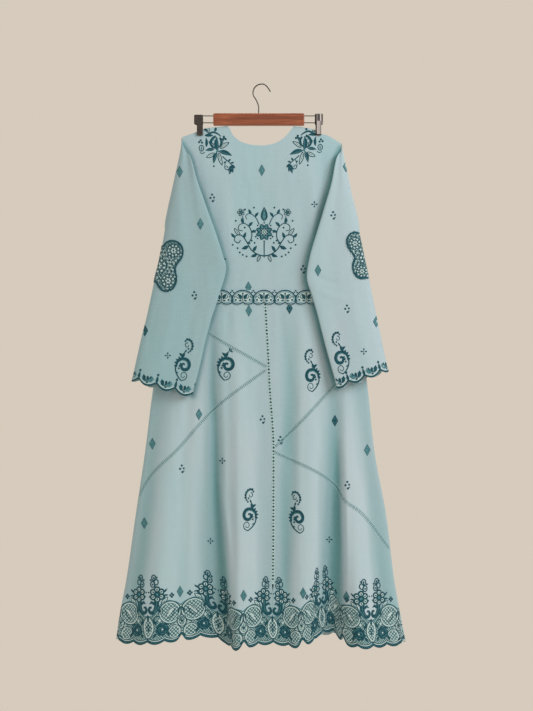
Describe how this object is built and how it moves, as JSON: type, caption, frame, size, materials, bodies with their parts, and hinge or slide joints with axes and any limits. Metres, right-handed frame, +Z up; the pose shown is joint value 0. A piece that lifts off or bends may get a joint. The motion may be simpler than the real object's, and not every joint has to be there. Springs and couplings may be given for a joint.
{
  "type": "maxi dress on clip hanger",
  "caption": "Long-sleeved gored maxi dress of thin printed cloth, hanging flat from the spring clips of a wooden clip hanger with a wire hook.",
  "frame": {"origin": "top of the inside of the hanger's hook, where it hangs on a rod", "axes": "+Z up, +X to the right as seen from the front of the dress, -Y out of the front of the dress"},
  "size_m": [0.7442, 0.115, 1.4627],
  "materials": {
    "cloth": "thin crinkled woven cotton, pale aqua with dark teal print",
    "lace": "dark teal net lace",
    "wood": "reddish brown varnished wood",
    "metal": "plated steel wire and sheet, slightly dulled",
    "dark_metal": "dark enamelled clip",
    "pad": "matt grip pads inside the clips"
  },
  "bodies": {
    "root": {"bodice_front": "cloth", "bodice_back": "cloth", "skirt_front_left_upper": "cloth", "skirt_front_left_middle": "cloth", "skirt_front_left_lower": "cloth", "skirt_front_right_upper": "cloth", "skirt_front_right_middle": "cloth", "skirt_front_right_lower": "cloth", "skirt_back": "cloth", "waistband": "cloth", "sleeve_left": "cloth", "sleeve_right": "cloth", "elbow_lace_left": "lace", "elbow_lace_right": "lace", "hanger_bar": "wood", "hanger_hook": "metal", "arm_wire_left": "metal", "arm_wire_right": "metal", "clip_right": "metal", "clip_left": "dark_metal", "clip_left_pad_front": "pad", "clip_left_pad_back": "pad", "clip_right_pad_front": "pad", "clip_right_pad_back": "pad"}
  },
  "joints": []
}
